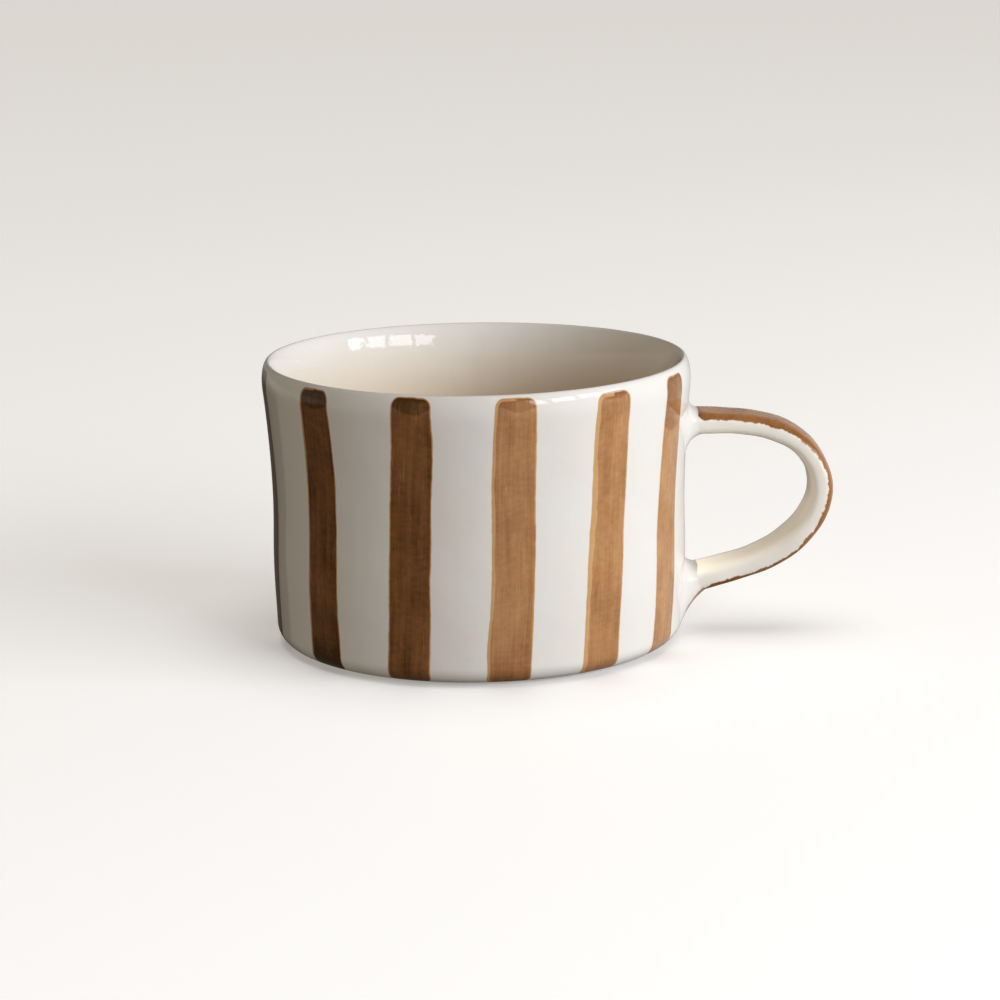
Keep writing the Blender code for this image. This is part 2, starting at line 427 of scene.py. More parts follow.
# %% Sizes of the section
WALL = 4.0
WAIST_RADIUS = 50.85
WAIST_HEIGHT = 35.0
BELLY = 0.25
BASE_RADIUS = 50.45
CORNER_RADIUS = 4.4
HEEL = 0.6
CORNER_HEIGHT = HEEL + CORNER_RADIUS
LIP_CREST = rim_radius - 1.60       # radius at the highest line of the lip
LIP_SHOULDER = 5.0                  # from the crest down to the widest line
LIP_INNER = 9.0                     # from the crest down to where the inside starts to lean out
LIP_JOIN = -15.0                    # degrees round the shoulder where the wall meets it
FLARE_POWER = 1.7

shoulder_radius = rim_radius - LIP_CREST
join_z = height - LIP_SHOULDER + LIP_SHOULDER * math.sin(math.radians(LIP_JOIN))
join_radius = LIP_CREST + shoulder_radius * math.cos(math.radians(LIP_JOIN))
print("the wall meets the lip at", round(join_z, 1), "mm")

# %% The wall's curve

def flare(z):
    """Outside radius above the waist if the flare went on to the very top."""
    share = (z - WAIST_HEIGHT) / (join_z - WAIST_HEIGHT)
    return WAIST_RADIUS + (join_radius - WAIST_RADIUS) * share ** FLARE_POWER


def wall_radius(z):
    """Outside radius of the cup at a height, from the base's underside to the lip's crest."""
    if z > join_z:
        share = min(1.0, (z - height + LIP_SHOULDER) / LIP_SHOULDER)
        return LIP_CREST + shoulder_radius * math.sqrt(max(0.0, 1 - share * share))
    if z >= WAIST_HEIGHT:
        return flare(z)
    if z >= CORNER_HEIGHT:
        share = (WAIST_HEIGHT - z) / (WAIST_HEIGHT - CORNER_HEIGHT)
        swell = BELLY * math.sin(math.pi * share) ** 2
        return WAIST_RADIUS + (BASE_RADIUS - WAIST_RADIUS) * share ** 3 + swell
    drop = min(CORNER_RADIUS, CORNER_HEIGHT - z)
    return BASE_RADIUS - CORNER_RADIUS + math.sqrt(CORNER_RADIUS ** 2 - drop ** 2)


def arc(centre, radii, start, end, count):
    """Points on an ellipse's arc, both ends included; angles in degrees."""
    angles = np.radians(np.linspace(start, end, count + 1))
    return [(centre[0] + radii[0] * math.cos(a), centre[1] + radii[1] * math.sin(a)) for a in angles]


def wall_run(low, high, count, inset=0.0):
    """Points on the wall between two heights, both ends included."""
    return [(wall_radius(z) - inset, z) for z in np.linspace(low, high, count + 1)]


print("outside radius at the waist:", wall_radius(WAIST_HEIGHT), "mm")

# %% String the outline together
FOOT_OUTER, FOOT_INNER = 44.5, 39.0
FOOT_ROUND, FOOT_FLAT = 0.45, 1.6   # the foot ring's rounding, and its bevel before the flat
FOOT_STEP = 0.5                     # the heel's width outside the foot ring
RECESS, RECESS_ROUND = 1.6, 1.2
FLOOR_HEIGHT = 6.1
BOWL_RADIUS = 9.0
MIDDLE = 3.0                        # radius of the hole left in the middle
CORNER_STEPS = 14

bowl_z = FLOOR_HEIGHT + BOWL_RADIUS
bowl_centre = (wall_radius(bowl_z) - WALL - BOWL_RADIUS, bowl_z)
inner_top = height - LIP_INNER
inner_lip = LIP_CREST - (flare(height) - WALL)
inside = [(radius, FLOOR_HEIGHT) for radius in np.linspace(MIDDLE, bowl_centre[0], 10)]
inside += arc(bowl_centre, (BOWL_RADIUS, BOWL_RADIUS), -90, 0, CORNER_STEPS)[1:]
inside += wall_run(bowl_z, inner_top, 24, WALL)[1:]
for angle in np.radians(np.linspace(0, 90, 29)[1:]):
    z = inner_top + LIP_INNER * math.sin(angle)
    inside.append((flare(z) - WALL + inner_lip * (1 - math.cos(angle)), z))
crest_index = len(inside) - 1

shoulder_middle = (LIP_CREST, height - LIP_SHOULDER)
outside = arc(shoulder_middle, (shoulder_radius, LIP_SHOULDER), 90, LIP_JOIN, 20)[1:]
outside += wall_run(join_z, CORNER_HEIGHT, 44)[1:]
corner_middle = (BASE_RADIUS - CORNER_RADIUS, CORNER_HEIGHT)
outside += arc(corner_middle, (CORNER_RADIUS, CORNER_RADIUS), 0, -90, CORNER_STEPS)[1:]

foot_round, recess_round = (FOOT_ROUND, FOOT_ROUND), (RECESS_ROUND, RECESS_ROUND)
foot = [(FOOT_OUTER + FOOT_STEP, HEEL), (FOOT_OUTER, HEEL - 0.1)]
foot += arc((FOOT_OUTER - FOOT_ROUND, FOOT_ROUND), foot_round, 0, -90, 5)
foot += [(FOOT_OUTER - FOOT_FLAT, 0.0), (FOOT_INNER + FOOT_FLAT, 0.0)]
foot += arc((FOOT_INNER + FOOT_ROUND, FOOT_ROUND), foot_round, -90, -180, 5)
foot += arc((FOOT_INNER - RECESS_ROUND, RECESS - RECESS_ROUND), recess_round, 0, 90, 6)
foot += [(radius, RECESS) for radius in (30.0, 20.0, 10.0, MIDDLE)]
section = inside + outside + foot
widest = max(radius for radius, z in section)
print("section:", len(section), "points, widest", round(widest, 2), "mm")

# %% [markdown]
# ## Made by hand
#
# A perfect lathe shape looks cast in plastic. Clay sags a little as it dries:
# the mouth goes slightly oval, the lip rises and falls by a hair and the body
# leans. We bend space itself by a small smooth amount and pass every piece
# through the same bend, so that what touches before it still touches after.

# %% A gentle warp for every piece
OVAL, OVAL_TURN = 0.16, 35.0
TRIPLE, TRIPLE_TURN = 0.07, 10.0
LEAN = 0.22
RIM_DIP, RIM_DIP_TURN = 0.12, 80.0


def by_hand(points):
    """Warp points in millimetres the way drying clay does."""
    x = points[..., 0] - axis_x
    y = points[..., 1]
    z = points[..., 2]
    turn_at = np.arctan2(x, -y)
    radius = np.hypot(x, y)
    share = np.clip(z / height, 0.0, 1.0)
    near = np.clip(radius / rim_radius, 0.0, 1.0)
    near *= np.clip((reach - radius) / (reach - rim_radius), 0.0, 1.0)
    push = OVAL * share * np.cos(2 * (turn_at - math.radians(OVAL_TURN)))
    push += TRIPLE * share ** 2 * np.cos(3 * (turn_at - math.radians(TRIPLE_TURN)))
    push *= near
    lift = RIM_DIP * share ** 3 * near * np.cos(2 * (turn_at - math.radians(RIM_DIP_TURN)))
    lean = LEAN * near * np.sin(math.pi * share)
    out = np.array(points, float)
    out[..., 0] += push * np.sin(turn_at) + lean
    out[..., 1] += -push * np.cos(turn_at)
    out[..., 2] += lift
    return out


print("warp ready")

# %% [markdown]
# ## Turning the cup
#
# The section is turned in 240 steps, and the two small holes left in the
# middle of the floor and of the hollow underneath are closed with one flat
# face each. A subdivision modifier isn't needed: the section is already dense
# where it bends. Inside, a rib leaves faint rings, so the inner wall gets a
# ripple of a few hundredths of a millimetre.

# %% Turn the cup
TURNS = 240
RIB_STEP, RIB_DEPTH = 4.2, 0.03

ribbed = []
for index, (radius, z) in enumerate(section):
    on_inner_wall = index < crest_index and bowl_z < z < inner_top
    rib = RIB_DEPTH * math.sin(2 * math.pi * z / RIB_STEP) if on_inner_wall else 0.0
    ribbed.append((radius + rib, z))
cup_faces = ring_faces(len(section), TURNS)
close_middle(cup_faces, 0, TURNS, True)
close_middle(cup_faces, (len(section) - 1) * TURNS, TURNS, False)
cup = new_object("glazed_cup", by_hand(lathe_points(ribbed, TURNS)), cup_faces)
print("cup:", len(cup.data.vertices), "points")

# %% [markdown]
# ## Where the brush went
#
# Twelve upright strokes go round the outside. The painter starts each one
# just under the lip, pulls it down the wall and lifts the brush on the bottom
# corner, so no two are quite alike: each leans a little, and starts at its
# own height. The strokes are kept as data on the mesh, not as an image. Every
# corner of every face outside stores how far it is across and down its
# nearest stroke, in millimetres, and the shader draws the stroke from that.

# %% Lay out the strokes
# turn at the lip and at the foot in degrees, start below the crest in mm,
# tone from pale to dark, how wide the pale edge is on the left in mm, how far
# down the dark cap reaches where the brush was set down in mm, and how much
# slip gathered at the foot, from 0 to 1
STROKES = (
    (-80.2, -79.4, 1.6, 0.62, 0.4, 4.0, 0.5),
    (-46.9, -47.4, 1.25, 0.84, 0.6, 4.6, 1.0),
    (-16.8, -20.0, 0.9, 0.80, 0.3, 3.8, 0.0),
    (9.9, 7.7, 1.05, 0.44, 0.8, 3.2, 0.75),
    (37.9, 34.2, 1.9, 0.44, 1.5, 2.0, 0.35),
    (64.7, 60.6, 1.9, 0.40, 0.4, 13.0, 0.15),
    (115.2, 116.0, 1.5, 0.42, 0.9, 3.0, 0.6),
    (143.2, 144.6, 1.2, 0.52, 0.4, 4.2, 0.3),
    (171.2, 172.6, 1.7, 0.46, 0.6, 9.0, 0.9),
    (200.6, 199.2, 1.4, 0.58, 0.3, 3.6, 0.5),
    (228.4, 229.2, 1.8, 0.50, 1.0, 2.4, 0.2),
    (254.8, 255.4, 1.1, 0.60, 0.5, 4.4, 0.7),
)
RAGGEDNESS = 0.05
HALF_WIDTH = 5.2
TOP_SHARE, WIDENING_RUN, WIDENING_GAIN = 0.93, 14.0, 1.1
FOOT_LIFT = 72.0            # degrees round the bottom corner where a stroke ends
SWAY, SWAY_RUN, SWAY_STAGGER = 0.20, 46.0, 1.7
NO_STROKE = 99.0            # so far across that no stroke reaches
CORNER_ORDER = ((0, 0), (1, 0), (1, 1), (0, 1))     # ring and step of a quad's corners

outer = np.array(section[crest_index:])
steps = np.hypot(*np.diff(outer, axis=0).T)
down = np.concatenate([[0.0], np.cumsum(steps)])
foot_row = len(outside) - CORNER_STEPS + round(CORNER_STEPS * FOOT_LIFT / 90)
stroke_end = down[foot_row]
print("a stroke runs down the wall for", round(stroke_end, 1), "mm")

# %% Lay the strokes

def store(mesh, name, values):
    """Keep one vector at every face corner."""
    layer = mesh.attributes.new(name, "FLOAT_VECTOR", "CORNER")
    layer.data.foreach_set("vector", np.asarray(values, np.float32).ravel())


def within_half_turn(degrees):
    """The same turn between -180 and 180 degrees."""
    return (degrees + 180) % 360 - 180


def lay_strokes(mesh):
    """Store where the brush went at every corner of the outer wall."""
    brush, stroke, edges, ends = np.zeros((4, len(mesh.loops), 3))
    brush[:, 0] = NO_STROKE
    middles = np.array([(top + foot_turn) / 2 for top, foot_turn, *_ in STROKES])
    quads = np.arange((len(section) - 1) * TURNS)
    rings, turn_steps = quads // TURNS, quads % TURNS
    on_wall = (rings >= crest_index) & (rings < crest_index + len(outside))
    quads, rings, turn_steps = quads[on_wall], rings[on_wall], turn_steps[on_wall]
    face_turn = (turn_steps + 0.5) * 360 / TURNS
    nearest = np.abs(within_half_turn(face_turn[:, None] - middles[None, :])).argmin(axis=1)
    top, foot_turn, start, tone, pale, cap, gathered = np.array(STROKES)[nearest].T
    for corner, (ring_step, turn_step) in enumerate(CORNER_ORDER):
        ring = rings + ring_step - crest_index
        at = down[ring]
        centre = top + (foot_turn - top) * np.clip(at / stroke_end, 0.0, 1.0)
        turned = within_half_turn((turn_steps + turn_step) * 360 / TURNS - centre)
        across = np.radians(turned) * outer[ring, 0]
        across += SWAY * np.sin(2 * math.pi * at / SWAY_RUN + SWAY_STAGGER * nearest)
        settled = WIDENING_GAIN * (1 - np.exp(-at / WIDENING_RUN))
        widen = TOP_SHARE + (1 - TOP_SHARE) * settled
        index = quads * 4 + corner
        brush[index] = np.stack([across / widen, at, nearest], axis=-1)
        stroke[index] = np.stack([start, np.full(len(quads), stroke_end), tone], axis=-1)
        edges[index, 0], edges[index, 1] = pale, RAGGEDNESS
        ends[index, 0], ends[index, 1] = cap, gathered
    for name, values in (("brush", brush), ("stroke", stroke), ("edges", edges), ("ends", ends)):
        store(mesh, name, values)


lay_strokes(cup.data)
print("strokes laid:", len(STROKES))

# %% [markdown]
# Two more notes go on the cup. One marks the foot ring, which is wiped clean
# of glaze so that it doesn't stick to the kiln shelf. The other says how deep
# in the bowl a point lies, because the cream is painted darker and warmer
# there: painted shade for the hollow of the bowl.

# %% Mark the foot and the depth of the painted shade in the bowl
# how far below the crest the painted shade in the bowl begins, and over how many mm it deepens
BOWL_SHADE_START, BOWL_SHADE_RUN = 1.5, 22.0
FIRST_BARE, LAST_BARE = 2, 16       # rings after the outer wall


def store_by_ring(mesh, name, values):
    """Keep one number at every point, the same all round each ring."""
    layer = mesh.attributes.new(name, "FLOAT", "POINT")
    layer.data.foreach_set("value", np.repeat(values, TURNS).astype(np.float32))


bare_rings = np.zeros(len(section))
foot_start = crest_index + len(outside)
bare_rings[foot_start + FIRST_BARE:foot_start + LAST_BARE + 1] = 1.0
store_by_ring(cup.data, "bare", bare_rings)
depths = np.zeros(len(section))
depths[:crest_index] = [height - z for radius, z in section[:crest_index]]
# painted shade: 0 near the rim, rising to 1 deep in the bowl, where the cream is painted darker and
# warmer
store_by_ring(cup.data, "bowl_shade", np.clip((depths - BOWL_SHADE_START) / BOWL_SHADE_RUN, 0.0, 1.0))
print("bare rings:", int(bare_rings.sum()))

# %% [markdown]
# ## The handle's line
#
# The handle is a pulled strap: a flat length of clay, drawn out wet, bent
# into a loop and fixed at two ends. Its centre line leaves the wall almost
# level, turns over a round shoulder, and comes back in a long slope. A smooth
# spline through nine points gives that line. Where the strap bends it is a
# touch thicker, because clay squeezes up on the inside of a bend.

# %% Draw the handle's line
STRAP_THICKNESS = 5.4
TOP_DROP, FOOT_RISE, BEND_RISE, BEND_GIRTH = 16.9, 13.4, 36.2, 1.06
ROOT = 2.0                  # how far each end runs on into the wall
STATIONS = 150

top_x, top_z = wall_radius(height - TOP_DROP), height - TOP_DROP
low_x, low_z = wall_radius(FOOT_RISE), FOOT_RISE
bend_x = reach - BEND_GIRTH * STRAP_THICKNESS / 2
span, fall, lift = bend_x - top_x, top_z - BEND_RISE, BEND_RISE - low_z
handle_line = np.array([    # how far out, how high, and how thick beside the usual
    (top_x - ROOT, top_z, 1.00),
    (top_x + 0.26 * span, top_z - 0.004 * fall, 0.98),
    (top_x + 0.56 * span, top_z - 0.075 * fall, 0.95),
    (top_x + 0.855 * span, top_z - 0.355 * fall, 1.00),
    (bend_x, BEND_RISE, BEND_GIRTH),
    (low_x + 0.84 * span, low_z + 0.478 * lift, 1.09),
    (low_x + 0.56 * span, low_z + 0.219 * lift, 1.04),
    (low_x + 0.26 * span, low_z + 0.084 * lift, 1.04),
    (low_x - ROOT, low_z - 0.04 * lift, 1.06),
])


def smooth_line(knots, count):
    """A natural cubic spline through the knots, resampled evenly along its length."""
    chord = np.concatenate([[0.0], np.cumsum(np.hypot(*np.diff(knots[:, :2], axis=0).T))])
    gaps = np.diff(chord)
    size = len(knots)
    matrix, rhs = np.eye(size), np.zeros((size, knots.shape[1]))
    for i in range(1, size - 1):
        matrix[i, i - 1:i + 2] = gaps[i - 1], 2 * (gaps[i - 1] + gaps[i]), gaps[i]
        rhs[i] = 6 * ((knots[i + 1] - knots[i]) / gaps[i] - (knots[i] - knots[i - 1]) / gaps[i - 1])
    bending = np.linalg.solve(matrix, rhs)
    fine = np.linspace(0, chord[-1], 2000)
    cell = np.clip(np.searchsorted(chord, fine, side="right") - 1, 0, size - 2)
    gap = gaps[cell][:, None]
    ahead, behind = (chord[cell + 1] - fine)[:, None], (fine - chord[cell])[:, None]
    points = (bending[cell] * ahead ** 3 + bending[cell + 1] * behind ** 3) / (6 * gap)
    points += (knots[cell] / gap - bending[cell] * gap / 6) * ahead
    points += (knots[cell + 1] / gap - bending[cell + 1] * gap / 6) * behind
    along = np.concatenate([[0.0], np.cumsum(np.hypot(*np.diff(points[:, :2], axis=0).T))])
    even = np.linspace(0, along[-1], count)
    values = [np.interp(even, along, column) for column in points.T]
    return np.stack(values, axis=-1), even


line, along = smooth_line(handle_line, STATIONS)
print("handle line:", round(along[-1], 1), "mm long")

# %% [markdown]
# ## Pulling the strap
#
# The section of a pulled handle is a flattened oval with soft shoulders. A
# superellipse gives that: its exponent sets how square the shoulders are. We
# carry the section along the line, and let the thickness and width wander by
# a tenth of a millimetre, as fingers leave them.

# %% The strap's section
SECTION_POINTS = 72
SQUARENESS = 3.5
HALF_STRAP = strap_width / 2 - 0.42
WANDER = 0.10
# waves along the strap: how quick, where they begin and how strong
THICK_WAVES = ((0.31, 0.6, 0.6), (0.73, 2.1, 0.36))
WIDE_WAVES = ((0.23, 1.4, 1.0), (0.57, 0.0, 0.5))


def strap_section(count):
    """Across and through, each from -1 to 1, from the near edge over the outside."""
    angles = np.arange(count) * 2 * math.pi / count
    cosine, sine = np.cos(angles), np.sin(angles)
    across = np.sign(cosine) * np.abs(cosine) ** (2 / SQUARENESS)
    through = np.sign(sine) * np.abs(sine) ** (2 / SQUARENESS)
    return across, through


def waver(at, waves):
    """How far fingers pushed the clay out at a distance along the strap."""
    return WANDER * sum(strong * np.sin(at * quick + begin) for quick, begin, strong in waves)


def strap_size(at, girth):
    """Half width and half thickness at a distance along the strap."""
    half_wide = HALF_STRAP * (1 + (girth - 1) / 2) + waver(at, WIDE_WAVES)
    return half_wide, STRAP_THICKNESS / 2 * girth + waver(at, THICK_WAVES)


across, through = strap_section(SECTION_POINTS)
print("strap:", round(2 * HALF_STRAP, 1), "mm wide and", STRAP_THICKNESS, "mm thick")

# %% Sweep the strap
tangent = np.gradient(line[:, :2], axis=0)
tangent /= np.linalg.norm(tangent, axis=1)[:, None]
outward = np.stack([-tangent[:, 1], tangent[:, 0]], axis=-1)
half_wide, half_thick = strap_size(along, line[:, 2])
from_line = through * half_thick[:, None]
strap_points = np.zeros((STATIONS, SECTION_POINTS, 3))
strap_points[..., 0] = axis_x + line[:, 0, None] + outward[:, 0, None] * from_line
strap_points[..., 1] = -across * half_wide[:, None]
strap_points[..., 2] = line[:, 1, None] + outward[:, 1, None] * from_line

strap_faces = ring_faces(STATIONS, SECTION_POINTS)
close_middle(strap_faces, 0, SECTION_POINTS, True)
close_middle(strap_faces, (STATIONS - 1) * SECTION_POINTS, SECTION_POINTS, False)
handle = new_object("glazed_handle", by_hand(strap_points), strap_faces)
print("strap:", len(handle.data.vertices), "points")

# %% [markdown]
# ## The clay collars
#
# A strap that only touches the wall would crack off, so the potter presses a
# little wet clay round each end and smooths it both ways. The collar is a
# trumpet: near the strap it runs along the strap, near the wall it lies flat
# on the wall. With t going from 0 on the strap to 1 on the wall, its height
# above the wall is reach times a power of 1 - t and its spread is spread
# times the same power of t. Any power above 1 makes it tangent to both, and a
# higher one makes a hollower curve. Its first ring is tucked a hair under the
# strap's skin, so the clay seems to grow out of it.

# %% Where the strap meets the wall
COLLAR_RINGS = 26
TUCK = 0.02
SINK = 0.35
SIDE_LEAN = 0.55            # how much a collar spreads to its sides beside up and down
SETTLING_ROUNDS = 6


def wall_x(y, z):
    """How far the wall is from the axis, measured level and in the handle's direction."""
    radius = np.vectorize(wall_radius)(z)
    return np.sqrt(np.maximum(radius ** 2 - y ** 2, 1.0))


def strap_at(x, upper):
    """The strap's upper or lower end at a level distance: centre height, girth, slope, along."""
    third = STATIONS // 3
    part = slice(0, third) if upper else slice(STATIONS - third, STATIONS)
    run, rise_here, girth = line[part].T
    slope = np.gradient(rise_here, run)
    order = np.argsort(run)
    columns = (rise_here, girth, slope, along[part])
    return [np.interp(x, run[order], column[order]) for column in columns]


print("collar helpers ready")

# %% Press on the collars
# above, below and beside the strap, in mm
UPPER_REACH, UPPER_SPREAD, UPPER_HOLLOW = (3.0, 5.0, 3.4), (3.8, 5.2, 3.6), 1.8
LOWER_REACH, LOWER_SPREAD, LOWER_HOLLOW = (3.2, 6.4, 4.2), (2.8, 7.8, 4.0), 1.5
# extra rings at both ends, out of sight in the strap and in the wall: share of
# the reach, shift along, and share of the spread, or mm inwards below 0
IN_STRAP = [(1.0, -0.8, -1.4), (1.0, 0.1, -0.5)]
IN_WALL = [(0.0, -SINK, 1.05), (0.0, -SINK - 0.6, 0.85)]


def collar_points(upper, reaches, spreads, hollow):
    """The collar's rings from the strap to the wall."""
    shares = np.linspace(0.0, 1.0, COLLAR_RINGS)
    profile = [((1 - t) ** hollow, 0.0, t ** hollow - TUCK * (1 - t)) for t in shares]
    through_out = through if upper else -through
    normal = np.stack([across * SIDE_LEAN, through_out], axis=-1)
    normal /= np.linalg.norm(normal, axis=1)[:, None]
    lean = normal[:, 1]

    def round_about(above, below, beside):
        return beside * (1 - lean ** 2) + np.where(lean > 0, above, below) * lean ** 2

    spread, reach_out = round_about(*spreads), round_about(*reaches)
    rings = []
    for reach_share, shift, out_share in IN_STRAP + profile + IN_WALL:
        height_above = reach_out * reach_share + shift
        out = out_share if out_share < 0 else spread * out_share
        y, z = across * HALF_STRAP, np.full(SECTION_POINTS, top_z if upper else low_z)
        for _ in range(SETTLING_ROUNDS):
            x = wall_x(y, z) + height_above
            centre, girth, slope, place_along = strap_at(x, upper)
            wide, thick = strap_size(place_along, girth)
            y = across * wide + out * normal[:, 0]
            z = centre + through_out * thick * np.hypot(1, slope) + out * normal[:, 1]
        rings.append(np.stack([axis_x + x, -y, z], axis=-1))
    return np.array(rings)


upper_rings = collar_points(True, UPPER_REACH, UPPER_SPREAD, UPPER_HOLLOW)
lower_rings = collar_points(False, LOWER_REACH, LOWER_SPREAD, LOWER_HOLLOW)
collar_faces = ring_faces(len(upper_rings), SECTION_POINTS)
inside_out = [face[::-1] for face in collar_faces]
upper_collar = new_object("upper_collar", by_hand(upper_rings), inside_out)
lower_collar = new_object("lower_collar", by_hand(lower_rings), collar_faces)
print("collars:", len(upper_collar.data.vertices), "points each")

# %% [markdown]
# ## Light thrown back by the cup
#
# The lit side of the cup throws warm light onto the inside of the handle.
# Traced light gives only part of that here, because the pale table doesn't
# bounce light in this scene. A small warm panel against the wall, linked to
# the handle alone and hidden from the camera and from reflections, adds the
# rest.

# %% Add the bounce
BOUNCE_WIDTH, BOUNCE_HEIGHT, BOUNCE_POWER = 15.0, 40.0, 0.0040
BOUNCE_COLOUR = (1.0, 0.93, 0.80)
BOUNCE_GAP = 1.0            # between the panel and the wall

bounce_spot = Vector((axis_x + WAIST_RADIUS + BOUNCE_GAP, 0.0, BEND_RISE)) * MM
facing_handle = Matrix.Translation(bounce_spot) @ Matrix.Rotation(math.radians(-90), 4, "Y")
bounce = area_light(
    "cup_bounce", facing_handle, BOUNCE_HEIGHT, BOUNCE_WIDTH, BOUNCE_POWER, BOUNCE_COLOUR
)
bounce.visible_camera = False
bounce.visible_glossy = False
lit_by_cup = bpy.data.collections.new("lit_by_cup")
lit_by_cup.objects.link(handle)
bounce.light_linking.receiver_collection = lit_by_cup
print("bounce panel at", [round(value / MM, 1) for value in bounce_spot], "mm")

# %% [markdown]
# ## A stroke along the handle
#
# One more stroke follows the outside of the handle from collar to collar and
# runs out on the clay under the lower one. Across is measured round the
# section from the middle of the outer face, and down along the handle's line.

# %% Distances round and along the handle
HANDLE_HALF = 7.6
HANDLE_TONE = 0.50
HANDLE_NUMBER = 20.0
HANDLE_PALE = 0.45
HANDLE_RAGGEDNESS, TAIL_RAGGEDNESS = 0.65, 0.18
START_OVERLAP = 0.7         # how far the collar's clay covers the stroke's start
EARLY_START = 0.4
TAIL_TAPER = 0.035
TAIL_END = 3.2

round_steps = np.hypot(
    np.diff(np.append(across, across[0])) * HALF_STRAP,
    np.diff(np.append(through, through[0])) * STRAP_THICKNESS / 2,
)
arc_around = np.concatenate([[0.0], np.cumsum(round_steps)])
full_round = arc_around[-1]
outer_middle = arc_around[SECTION_POINTS // 4]
third = STATIONS // 3
start_x, end_x = top_x + UPPER_REACH[0] - START_OVERLAP, low_x + LOWER_REACH[1]
collar_start = float(np.interp(start_x, line[:third, 0], along[:third]))
collar_end = float(np.interp(-end_x, -line[-third:, 0], along[-third:]))
tail = collar_end + LOWER_REACH[1] + TAIL_END
print("handle stroke from", round(collar_start, 1), "to", round(tail, 1), "mm along")

# %% Lay the handle's stroke

def lay_handle_stroke(mesh, down_rings, raggedness):
    """Store the handle's one stroke at every corner of a tube's quads."""
    corners = len(mesh.loops)
    brush = np.zeros((corners, 3))
    brush[:, 0] = NO_STROKE
    quads = np.arange((len(down_rings) - 1) * SECTION_POINTS)
    rings, steps_round = quads // SECTION_POINTS, quads % SECTION_POINTS
    far_side = steps_round >= SECTION_POINTS * 3 // 4
    for corner, (ring_step, round_step) in enumerate(CORNER_ORDER):
        round_at = arc_around[steps_round + round_step] - outer_middle
        round_at = (round_at + full_round / 2) % full_round - full_round / 2
        round_at = np.where(far_side & (round_at > 0), round_at - full_round, round_at)
        at = down_rings[rings + ring_step, (steps_round + round_step) % SECTION_POINTS]
        taper = 1 + TAIL_TAPER * np.clip(at - collar_end, 0.0, None)
        round_at = round_at * taper * HALF_WIDTH / HANDLE_HALF
        number = np.full(len(quads), HANDLE_NUMBER)
        brush[quads * 4 + corner] = np.stack([round_at, at, number], axis=-1)
    store(mesh, "brush", brush)
    everywhere = (corners, 1)
    store(mesh, "stroke", np.tile([collar_start - EARLY_START, tail, HANDLE_TONE], everywhere))
    store(mesh, "edges", np.tile([HANDLE_PALE, raggedness, 0.0], everywhere))
    store(mesh, "ends", np.zeros((corners, 3)))


strap_down = np.repeat(along[:, None], SECTION_POINTS, axis=1)
lay_handle_stroke(handle.data, strap_down, HANDLE_RAGGEDNESS)
gaps_down = np.linalg.norm(np.diff(lower_rings, axis=0), axis=2)
from_first = np.concatenate([np.zeros((1, SECTION_POINTS)), np.cumsum(gaps_down, axis=0)])
lay_handle_stroke(lower_collar.data, collar_end + from_first - gaps_down[0], TAIL_RAGGEDNESS)
print("stroke laid on", handle.name, "and", lower_collar.name)

# %% [markdown]
# ## The brushed slip
#
# Each stroke is drawn by a signed distance: how far a point is outside a
# rounded bar, in millimetres, with the bar's edges pushed about by noise. It
# says at once where the stroke is, how near its edge a point lies, and where
# the pale rim of thin slip goes.

# %% The stroke's outline
ROUNDING = 2.4
EDGE_SOFTNESS = 0.13
SEED_STEP, SIDE_STEP = 7.31, 2.7        # keep each stroke and each of its sides different
# how fast an edge changes for each mm down, how far it moves in mm, and detail
SLOW_EDGE = (0.075, 0.85, 1.0)
QUICK_EDGE = (0.42, 0.26, 2.0)
RAGGED_PACE, RAGGED_REACH = 0.62, 2.0
END_PACE, END_DRIFT, END_REACH = 0.22, 0.05, 0.9


def read_vector(tree, name):
    """The three parts of a vector stored on the mesh."""
    attribute = tree.nodes.new("ShaderNodeAttribute")
    attribute.attribute_name = name
    split = tree.nodes.new("ShaderNodeSeparateXYZ")
    tree.links.new(attribute.outputs["Vector"], split.inputs[0])
    return split.outputs


def centred(tree, cloud):
    """Noise moved from round 0.5 to round 0."""
    return calc(tree, "SUBTRACT", cloud, 0.5)


def edge_noise(tree, v, pace, seed, detail, rough=0.5):
    """Noise that changes down the stroke only."""
    where = vector(tree, calc(tree, "MULTIPLY", v, pace), seed)
    return noise(tree, where, 1.0, detail, rough)


def edge_wobble(tree, v, side_seed, raggedness):
    """How far an edge strays sideways, in millimetres."""
    pace, far, detail = SLOW_EDGE
    slow = centred(tree, edge_noise(tree, v, pace, side_seed, detail))
    wobble = calc(tree, "MULTIPLY", slow, far)
    pace, far, detail = QUICK_EDGE
    quick = centred(tree, edge_noise(tree, v, pace, side_seed, detail))
    wobble = calc(tree, "MULTIPLY_ADD", quick, far, wobble)
    ragged = centred(tree, edge_noise(tree, v, RAGGED_PACE, side_seed, 3.0, 0.7))
    ragged = calc(tree, "MULTIPLY", ragged, calc(tree, "MULTIPLY", raggedness, RAGGED_REACH))
    return calc(tree, "ADD", wobble, ragged)


def end_wobble(tree, u, v, seed):
    """How far a stroke's ends stray up and down, in millimetres."""
    across, drift = calc(tree, "MULTIPLY", u, END_PACE), calc(tree, "MULTIPLY", v, END_DRIFT)
    uneven = noise(tree, vector(tree, across, seed, drift), 1.0, 2.0)
    return calc(tree, "MULTIPLY", centred(tree, uneven), END_REACH)


